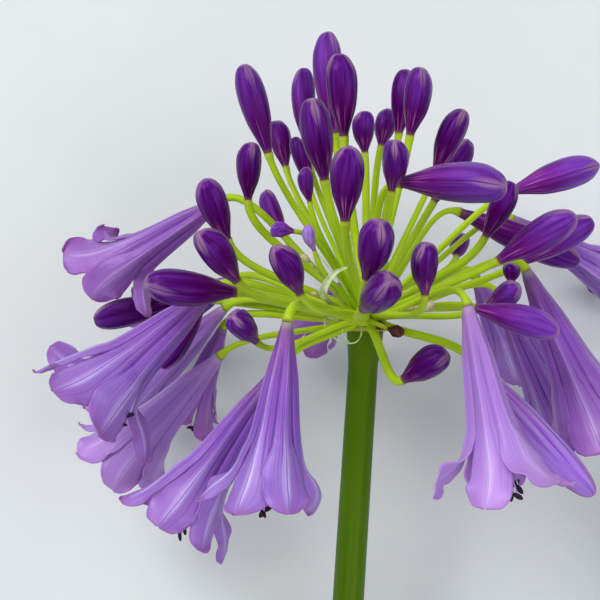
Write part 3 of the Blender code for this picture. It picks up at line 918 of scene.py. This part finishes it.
@dataclass(frozen=True)
class Lobe:
    """How the free end of one tepal lies."""

    curl: float = 8.0          # degrees that it bends out
    hang: float = 0.0          # degrees that its last part bends back in
    sway: float = 0.0          # degrees that it bends sideways
    twist: float = 0.0         # degrees that it turns about its middle line
    roundness: float = 0.75    # 1 follows the tube's round, 0 is flat, below 0 the margins roll back
    width: float = 1.0         # share of the plain width
    reach: float = 1.0         # share of the plain length
    start: float = 0.42        # where along the free end it leaves its neighbours
    flick: float = 0.0         # degrees that its very end bends out

    @staticmethod
    def chance(draw: np.random.Generator) -> "Lobe":
        """A lobe as the wind leaves it."""
        return Lobe(draw.normal(14, 12), draw.uniform(0, 14), draw.normal(0, 5), draw.normal(0, 9),
                    draw.uniform(0.1, 0.95), draw.uniform(0.92, 1.04), draw.uniform(0.94, 1.0),
                    draw.uniform(0.36, 0.5), draw.normal(0, 18))


@dataclass(frozen=True)
class Habit:
    """How one floret's tepals lie: share of full width, turn, lobes that are known, tint and stamens."""

    width: float
    roll: float                  # degrees
    lobes: dict[int, Lobe] = field(default_factory=dict)
    # tint gives a floret its own hue, and partly also painted shade (mauve) or painted light (pale)
    tint: float = 0.0            # 1 dusky mauve, -1 pale
    stamen_turn: float = 90.0    # degrees round the mouth that the stamens lean to
    stamen_lean: float = 3.0     # mm that they lean
    stamen_reach: float = 0.93   # share of the floret's length
    waist: float = 0.0           # share that the tube is slimmer at its middle


@dataclass
class Floret:
    """An open floret: six tepals joined into a fluted tube, free past the notch."""

    stem: Stem
    head: Head
    habit: Habit
    tube_profile: tuple = ((0.0, 1.45), (0.03, 1.8), (0.12, 2.5), (0.3, 3.85), (0.6, 6.2), (0.8, 9.1),
                           (1.0, 12.6))
    notch: float = 0.6
    wall: float = 0.42         # mm
    weld: float = 0.03         # mm within which points of neighbouring tepals become one
    flute: float = 0.42        # mm that a tepal's middle stands out of the tube, and its joint sinks in
    keel: float = 0.25
    groove: float = 0.3
    rib: float = 0.04
    ruffle: float = 0.95       # mm that the margins wave
    fray: float = 0.06         # share of its half width that a margin's line wanders
    scallop: float = 0.45      # mm that an end's line wanders along it
    overlap: float = 0.55      # mm that an outer tepal lies outside an inner one
    columns: int = 21
    rows: int = 60
    inner_width: tuple = ((0.0, 3.25), (0.25, 4.6), (0.5, 5.9), (0.7, 6.3), (0.84, 5.7), (0.93, 4.4),
                          (0.98, 2.7), (1.0, 0.5))
    outer_width: tuple = ((0.0, 3.25), (0.25, 4.1), (0.5, 4.8), (0.7, 4.8), (0.84, 4.1), (0.93, 2.9),
                          (0.98, 1.6), (1.0, 0.25))
    floor_gap: float = 0.15    # mm over the surface that a pressed tepal keeps
    floor_soft: float = 0.85   # mm above that in which it bends
    filament: tuple = (0.34, 0.2)    # half widths at foot and end
    stamen_foot: float = 2.0   # mm up the tube
    stamen_ring: tuple = (0.8, 0.7)  # mm from the axis at the foot, and more at the end
    stagger: float = 0.03      # share of the length that stamens differ by
    anther: float = 1.5        # half its length
    anther_girth: float = 0.62
    anther_tilt: float = 0.9

    def rise(self) -> tuple[Array, Array]:
        """The rows' shares of the whole length, and of the free end alone."""
        low = np.linspace(0, self.notch, self.rows // 2, endpoint=False)
        high = self.notch + (1 - self.notch) * np.sin(np.linspace(0, np.pi / 2, self.rows // 2))
        share = np.concatenate([low, high])
        return share, np.clip((share - self.notch) / (1 - self.notch), 0, 1)

    def tepal(self, number: int, lobe: Lobe, draw: np.random.Generator) -> Surface:
        """One tepal as a grid: rows along it, columns across it.

        The middle line is summed from its slope, which is the tube's own and then the lobe's bends.  A
        point stands off that line sideways by the circle's sine and inwards by one less its cosine, on a
        circle of the tube's radius, whose curvature the lobe changes.  The circle's radius carries the
        flutes, the keel and the grooves, so that neighbours meet at their joints.

        Args:
            number: which of the six, the even ones being the broad inner ones.
            lobe: how its free end lies.
            draw: draws the waves of the margins.

        Returns:
            The tepal's surface.
        """
        inner = number % 2 == 0
        share, free = self.rise()
        stations, radii = zip(*self.tube_profile)
        slim = 1 - self.habit.waist * ease(0.1, 0.4, share) * ease(0.95, 0.6, share)
        radius = (radii[0] + (through(stations, radii, share) - radii[0]) * self.habit.width) * slim
        middle, ahead, cross, out = self.spine(number, lobe, radius, share, free)
        column = np.linspace(-1, 1, self.columns)
        phase = draw.uniform(0, 2 * np.pi, 7)
        first, second, third = (np.where(column < 0, *phase[pair:pair + 2]) for pair in (0, 2, 4))
        wander = np.sin(8 * free[:, None] + second) + 0.6 * np.sin(21 * free[:, None] + third)
        half = self.half_width(lobe, inner, radius, slim, free)[:, None] \
            * (1 + self.fray * ease(0.25, 0.7, free)[:, None] * wander)
        curve = (1 + (lobe.roundness - 1) * ease(0.15, 0.9, free))[:, None]
        curve = np.where(np.abs(curve) < 0.05, 0.05, curve)
        angle = half * column / radius[:, None] * curve
        ridge = self.relief(column, share, free, inner)
        ring = radius[:, None] + ridge
        sideways = ring * np.sin(angle) / curve
        offset = -ring * (1 - np.cos(angle)) / curve + ridge
        wave = 2 * np.pi * draw.uniform(1.2, 2.2) * free[:, None] + first
        offset = offset + self.ruffle * ease(0.3, 0.8, free)[:, None] * (
            np.sin(wave) * np.abs(column) ** 2.2 + 0.35 * np.sin(2.3 * wave + 1) * np.abs(column) ** 4)
        ends = self.scallop * ease(0.6, 0.85, free) * ease(1.0, 0.93, free)
        ahead = ahead[:, None] * (ends[:, None] * np.sin(5.5 * column + phase[6]))[..., None]
        points = middle[:, None] + cross[:, None] * sideways[..., None] + out[:, None] * offset[..., None] \
            + ahead
        return Surface.grid(points[:, ::-1], (1 - column) / 2, share)

    def spine(self, number: int, lobe: Lobe, radius: Array, share: Array,
              free: Array) -> tuple[Array, Array, Array, Array]:
        """A tepal's middle line, and the directions ahead, across and out of it at each row.

        Args:
            number: which of the six.
            lobe: how its free end lies.
            radius: the tube's half width at each row.
            share: each row's share of the whole length.
            free: each row's share of the free end.

        Returns:
            The line's points, then the three directions.
        """
        height = share * self.stem.length
        bend = ease(lobe.start, min(1.0, lobe.start + 0.5), free)
        curl, hang, flick = np.radians([lobe.curl, lobe.hang, lobe.flick])
        sway, twist = np.radians([lobe.sway, lobe.twist])
        slope = np.arctan2(np.gradient(radius), np.gradient(height)) + curl * bend \
            - hang * ease(lobe.start + 0.25, 1.0, free) + flick * ease(0.78, 1.0, free)
        radial, tangent = swung(*self.stem.sides(self.head, self.habit.roll), math.radians(60.0 * number))
        forward = turned(self.stem.axis, radial, slope)
        ahead, cross = turned(forward, tangent, sway * bend), turned(tangent, -forward, sway * bend)
        out = turned(radial, -self.stem.axis, slope * ease(0.0, 0.3, free))
        cross, out = turned(cross, out, twist * bend), turned(out, -cross, twist * bend)
        step = np.hypot(np.diff(radius), np.diff(height)) * np.where(free[1:] > 0, lobe.reach, 1.0)
        run = np.cumsum(0.5 * (ahead[1:] + ahead[:-1]) * step[:, None], axis=0)
        start = self.stem.joint + self.stem.axis * GAP + radial * radius[0]
        return start + np.vstack([np.zeros(3), run]), ahead, cross, out

    def half_width(self, lobe: Lobe, inner: bool, radius: Array, slim: Array, free: Array) -> Array:
        """Half a tepal's width at each row: half a sixth of the tube's round, then the lobe's own."""
        stations, widths = zip(*(self.inner_width if inner else self.outer_width))
        plain = through(stations, widths, free) * self.habit.width * slim \
            * (1 + (lobe.width - 1) * ease(0.0, 0.5, free))
        return np.where(free > 0, plain, radius * np.pi / 6)

    def relief(self, column: Array, share: Array, free: Array, inner: bool) -> Array:
        """What the flutes, fine ribs, keel, grooves and overlap add to the circle's radius."""
        fluting = self.flute * ease(0.04, 0.3, share) * (1 - 0.7 * ease(0.0, 0.7, free))
        keel = self.keel * ease(0.05, 0.3, share) * (1 - ease(0.8, 1.0, free))
        groove = self.groove * ease(0.05, 0.3, share) * (1 - ease(0.0, 0.12, free))
        ribs = self.rib * ease(0.1, 0.3, share) * (1 - ease(0.5, 1.0, free))
        lap = (0.0 if inner else self.overlap) * ease(0.0, 0.2, free)
        return fluting[:, None] * np.cos(np.pi * column) + keel[:, None] * np.exp(-(column / 0.1) ** 2) \
            - groove[:, None] * np.exp(-((1 - np.abs(column)) / 0.12) ** 2) \
            + ribs[:, None] * np.cos(6 * np.pi * column) + lap[:, None]

    def build(self, petal: Material, thread: Material, pollen: Material, seed: int) -> None:
        """Make the corolla, the stamens' threads with the style, and the anthers.

        Tepals that would reach the surface bend along it: a height below 1 mm, which is floor_gap plus
        floor_soft, becomes floor_gap plus floor_soft times the exponential of that height less 1 mm.
        """
        draw = np.random.default_rng(seed)
        lobes = [self.habit.lobes.get(number, Lobe.chance(draw)) for number in range(6)]
        corolla = joined([self.tepal(number, lobe, draw) for number, lobe in enumerate(lobes)])
        count = self.columns * self.rows
        ring = np.concatenate([number * count + np.arange(self.columns - 1, 0, -1) for number in range(6)])
        corolla.cap(ring, self.stem.joint + self.stem.axis * GAP, 0.0, False)
        low = corolla.points[:, 2] < 1.0
        corolla.points[low, 2] = self.floor_gap + self.floor_soft * np.exp(corolla.points[low, 2] - 1.0)
        piece = make_piece(self.stem.name + "_tepals", corolla, petal, self.habit.tint,
                           self.weld, self.wall)
        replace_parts(piece, self.stem.name)
        threads, anthers = self.stamens(draw)
        make_piece(self.stem.name + "_filaments", threads, thread)
        make_piece(self.stem.name + "_anthers", anthers, pollen)

    def stamens(self, draw: np.random.Generator) -> tuple[Surface, Surface]:
        """Six filaments and a style that rise from the tube's foot and lean to one side at the mouth."""
        side, front = self.stem.sides(self.head, self.habit.stamen_turn)
        share, along = shares(14), np.linspace(-1, 1, 9)
        girth = self.anther_girth * np.sqrt(np.maximum(1 - (0.97 * along) ** 2, 0))
        threads, anthers = [], []
        for number in range(7):
            style = number == 6
            away = swung(side, front, math.radians(60 * number + 15))[0] * (0.0 if style else 1.0)
            reach = self.stem.length * (self.habit.stamen_reach - self.stagger * (number % 3)) \
                - self.stamen_foot
            path = self.stem.joint + self.stem.axis * (self.stamen_foot + share * reach)[:, None] \
                + away * (self.stamen_ring[0] + self.stamen_ring[1] * share)[:, None] \
                + side * (self.habit.stamen_lean * share ** 2.2)[:, None]
            threads.append(tube(path, np.linspace(*self.filament, len(share)), 6))
            if not style:
                axis = unit(self.stem.axis + self.anther_tilt * unit(draw.normal(0, 1, 3)))
                anthers.append(tube(path[-1] + np.outer(self.anther * along, axis), girth, 8, (2, 0.18)))
        return joined(threads), joined(anthers)


# plain buds by number: how ripe they are, and the degrees that their seams are turned
BUDS = {
    1: (0.3, 22.0), 3: (0.25, 0.0), 4: (0.0, -43.0), 5: (0.0, -25.0), 7: (0.15, 0.0), 8: (0.22, 38.0),
    10: (0.0, 27.0), 11: (0.15, 0.0), 12: (0.0, 19.0), 13: (0.0, -16.0), 14: (0.0, -32.0),
    15: (0.0, -59.0), 18: (2.0, 0.0), 21: (0.05, 0.0), 22: (0.0, 14.0), 23: (0.2, 0.0), 24: (0.12, 39.0),
    25: (0.0, -55.0), 28: (0.6, 45.0), 30: (0.35, 25.0), 31: (0.3, 0.0), 32: (0.5, 0.0), 33: (0.12, 0.0),
    34: (0.0, 49.0), 35: (0.0, -32.0), 36: (0.0, -16.0), 37: (0.0, 58.0), 38: (0.3, 0.0), 39: (0.55, 0.0),
}
BUD_HABITS = {"bud_%02d" % number: BudHabit(ripe, turn=turn) for number, (ripe, turn) in BUDS.items()}
BUD_HABITS |= {
    "bud_17": BudHabit(0.05, wrinkle=0.08, turn=54.0),
    "bud_19": BudHabit(0.9, wrinkle=0.4, bow=0.3, beak=0.9),
    "bud_20": BudHabit(0.1, wrinkle=0.05, turn=-49.0),
    "bud_27": BudHabit(0.42, beak=0.8, turn=60.0),
    # opening_bud_01's high ripeness is partly painted light, making it paler where floret_09 shades it
    "opening_bud_01": BudHabit(1.75, bow=0.8, turn=-30.0),
}

# florets: their width, turn and known lobes by number, while a lobe that isn't listed is drawn
HABITS = {
    "floret_01": Habit(1.08, 42, {
        5: Lobe(88, 0, 0, -30, 0.3, 1.02, 0.67, 0.45),
        0: Lobe(10, 0, -20, -14, 0.25, 1.12, 1.0),
        1: Lobe(8, 0, 14, 0, 0.5, 1.15, 0.88),
        2: Lobe(62, 0, -20, 25, 0.9, 0.45, 0.8, 0.0),
        3: Lobe(0, 0, 0, 0, 0.8, 0.8, 0.7),
    }, 0.55, waist=0.04),
    "floret_02": Habit(1.3, 70, {
        4: Lobe(64, 0, 42, 80, 0.4, 0.55, 1.05, 0.3),
        5: Lobe(-4, 0, 26, 0, 1.1, 0.5, 1.05, 0.3),
        0: Lobe(10, 0, -8, 0, 0.8, 0.85, 1.03),
        1: Lobe(4, 0, -8, 0, 0.8, 1.25, 0.96),
        2: Lobe(58, 35, 0, 60, 1.4, 0.4, 1.05, 0.1),
        3: Lobe(-10, 0, 0, 0, 0.8, 0.8, 0.7),
    }, 0.1, 165, 10.8, 0.85),
    "floret_03": Habit(1.1, 103, {
        4: Lobe(22, 0, 0, 0, 0.9, 0.45, 1.15),
        5: Lobe(12, 6, 0, 0, 0.7, 1.05),
        0: Lobe(8, 0, 10, 0, 0.9, 0.95, 0.94),
        1: Lobe(18, 10, 0, 10, 0.8, 1.0, 0.85),
    }, -0.6),
    "floret_04": Habit(1.0, 0, {}, -0.4),
    "floret_05": Habit(0.74, 30, {1: Lobe(0, 0, 0, 0, 0.8, 0.6, 0.7)}, 0.9, 140.0, 5.0, 1.0),
    "floret_06": Habit(1.1, 78, {
        4: Lobe(5, 0, 0, 10, 0.3, 0.6, 0.97, 0.3),
        5: Lobe(12, -8, 0, -20, 0.9, 0.7, 1.03),
        0: Lobe(10, 0, 0, 0, 0.7, 1.0, 0.92),
        1: Lobe(2, 0, 10, 0, 0.7, 1.0, 0.9),
        2: Lobe(40, 40, 5, 60, 1.6, 0.4, 1.15, 0.15),
        3: Lobe(-8, 0, 0, 0, 0.8, 0.8, 0.85),
    }, 0.1, 120, 5.0, 0.97),
    "floret_07": Habit(1.05, 55, {
        5: Lobe(38, 24, 0, -40, 1.8, 0.55, 1.02, 0.2),
        0: Lobe(10, 6, 0, 0, 0.9, 0.97, 0.96),
        1: Lobe(12, 10, 0, 0, 0.8, 1.3, 0.89),
        2: Lobe(42, 104, 0, 20, 0.7, 0.8, 0.93, 0.15),
        3: Lobe(-6, 0, 0, 0, 0.8, 0.8, 0.9),
        4: Lobe(-6, 0, 0, 0, 0.8, 0.8, 0.9),
    }, 0.0, 80, 5.5, 0.97),
    "floret_08": Habit(0.85, 15, {}, 0.8),
    "floret_09": Habit(1.22, 68, {
        5: Lobe(72, 98, 10, 50, 0.6, 0.5, 0.93, 0.2, 45),
        4: Lobe(-22, 0, -36, 0, 0.8, 0.5, 0.8),
        3: Lobe(-8, 0, 0, 0, 0.8, 0.7, 0.8),
        0: Lobe(2, 0, -16, 0, 0.8, 0.88, 0.94),
        1: Lobe(30, 20, 10, -10, 0.3, 1.25, 0.87, 0.4),
        2: Lobe(30, 0, 0, 0, 0.6, 0.9, 0.99),
    }, -0.6, 100, 8.0, 0.95, 0.1),
    "floret_10": Habit(1.3, 72, {}, 0.5),
    "floret_11": Habit(1.0, 44, {}, -0.1),
    "floret_12": Habit(0.9, 8, {}, -0.25),
    "floret_13": Habit(0.9, 50, {}, 0.8),
    "floret_14": Habit(0.78, 0, {}, 0.4),
}


@dataclass
class Studio:
    """The pale surface, the camera over it and soft light."""

    head: Head
    distance: float = 420.0    # mm from the receptacle to the camera
    lens: float = 84.0
    sensor: float = 36.0
    near: float = 0.01         # m
    floor_size: float = 6.0    # m
    aim_right: float = -19.8   # mm, where the view's middle passes the receptacle
    aim_up: float = 5.4
    paper: tuple[Colour, Colour] = ((0.60, 0.63, 0.64), (0.63, 0.657, 0.666))
    sky: Colour = (0.93, 0.96, 1.0)
    sky_strength: float = 0.37
    # each lamp: its name, place in growing millimetres, side in metres, power and colour
    lamps: tuple = (("window", (-1250.0, 1700.0, 1500.0), 2.2, 50.0, (1.0, 0.99, 0.98)),
                    ("pane", (-620.0, 760.0, 900.0), 0.3, 3.6, (1.0, 1.0, 1.0)),
                    ("fill", (900.0, -50.0, 1250.0), 1.0, 9.0, (0.97, 0.98, 1.0)),
                    ("front", (-300.0, -750.0, 1150.0), 1.3, 3.6, (0.98, 0.98, 1.0)))

    def floor(self) -> None:
        """A wide plain surface, pale and faintly mottled."""
        bpy.ops.mesh.primitive_plane_add(size=self.floor_size, location=(0, 0, 0))
        floor = bpy.context.object
        floor.name = "pale_surface"
        finish = DullFinish("pale_paper", *self.paper, 0.9, 6.0, 0.0)
        floor.data.materials.append(finish.material())

    def camera(self) -> None:
        """Look straight at the flower's front, with up along the stalk."""
        lens = bpy.data.cameras.new("camera")
        lens.lens = self.lens
        lens.sensor_width = self.sensor
        lens.clip_start = self.near
        lens.dof.use_dof = False
        camera = placed("camera", lens)
        spot = self.head.place([self.aim_right, self.aim_up, self.distance]) * MM
        turn = Matrix(np.stack([self.head.right, self.head.up, self.head.out], 1).tolist())
        camera.matrix_world = Matrix.Translation(Vector(spot)) @ turn.to_4x4()
        bpy.context.scene.camera = camera

    def lamp(self, name: str, place: tuple[float, float, float], size: float, power: float,
             colour: Colour) -> None:
        """A soft square lamp aimed at the flower, placed in growing millimetres."""
        light = bpy.data.lights.new(name, "AREA")
        light.size = size
        light.energy = power
        light.color = colour
        lamp = placed(name, light)
        spot = Vector(self.head.place(place) * MM)
        lamp.location = spot
        aim = Vector(self.head.centre * MM) - spot
        lamp.rotation_euler = aim.to_track_quat("-Z", "Y").to_euler()

    def build(self) -> None:
        """Set the stage, with colours shown as they are mixed."""
        bpy.context.scene.view_settings.view_transform = "Standard"
        self.floor()
        self.camera()
        for lamp in self.lamps:
            self.lamp(*lamp)
        world = bpy.data.worlds.new("daylight")
        bpy.context.scene.world = world
        world.use_nodes = True
        sky = world.node_tree.nodes["Background"]
        sky.inputs["Color"].default_value = (*self.sky, 1.0)
        sky.inputs["Strength"].default_value = self.sky_strength


def main() -> None:
    """Build the flower's pieces in order, then the stage."""
    logging.basicConfig(level=logging.INFO, format="%(message)s")
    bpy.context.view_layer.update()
    head = Head.from_scape("scape")
    petal, skin = PetalFinish().material(), BudFinish().material()
    # the pedicels' roots are pale yellow-green, and are made paler still as painted light glowing through
    # them
    pedicel = StalkFinish("pedicel_skin", (0.56, 0.72, 0.03), (0.36, 0.55, 0.01), (0.34, 0.48, 0.02),
                          (0.60, 0.76, 0.06), (0.20, 0.19, 0.03)).material()
    scape = StalkFinish("scape_skin", (0.05, 0.125, 0.003), (0.058, 0.13, 0.002), (0.085, 0.17, 0.004),
                        (0.075, 0.17, 0.006), (0.10, 0.19, 0.006)).material()
    flesh = DullFinish("cut_flesh", (0.42, 0.55, 0.22), (0.55, 0.65, 0.34), 0.35).material()
    thread = DullFinish("filament", (0.55, 0.42, 0.78), (0.66, 0.55, 0.85), 0.5).material()
    pollen = DullFinish("anther", (0.010, 0.004, 0.018), (0.03, 0.012, 0.04), 0.75).material()
    brown = DullFinish("withered", (0.03, 0.005, 0.004), (0.12, 0.022, 0.012), 0.55, 500.0, 0.8).material()
    stems = {name: Stem.read(name, head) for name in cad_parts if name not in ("scape", "umbel")}
    Scape(head).build(scape, flesh)
    Pedicels(head, list(stems.values())).build(pedicel)
    pale = DullFinish("spathe_pale", (0.50, 0.60, 0.28), (0.76, 0.80, 0.60), 0.45, 500.0).material()
    dry = DullFinish("failed_bud_tan", (0.36, 0.30, 0.10), (0.64, 0.56, 0.34), 0.6, 700.0, 0.7).material()
    husk = DullFinish("scar_yellow", (0.42, 0.36, 0.05), (0.50, 0.50, 0.08), 0.5, 500.0, 0.5).material()
    red = DullFinish("stub_red", (0.22, 0.03, 0.012), (0.34, 0.06, 0.02), 0.5, 900.0, 0.6).material()
    Scraps(head).build(pale, dry, husk, red)
    for number, (name, stem) in enumerate(sorted(stems.items())):
        if name in HABITS:
            Floret(stem, head, HABITS[name]).build(petal, thread, pollen, number)
        elif name == "withered_bud":
            Bud(stem, head, BudHabit(0.0, 0.3, 0.5, 0.8)).build(brown, number)
        else:
            Bud(stem, head, BUD_HABITS.get(name, BudHabit())).build(skin, number)
    Studio(head).build()


if __name__ == "__main__":
    main()
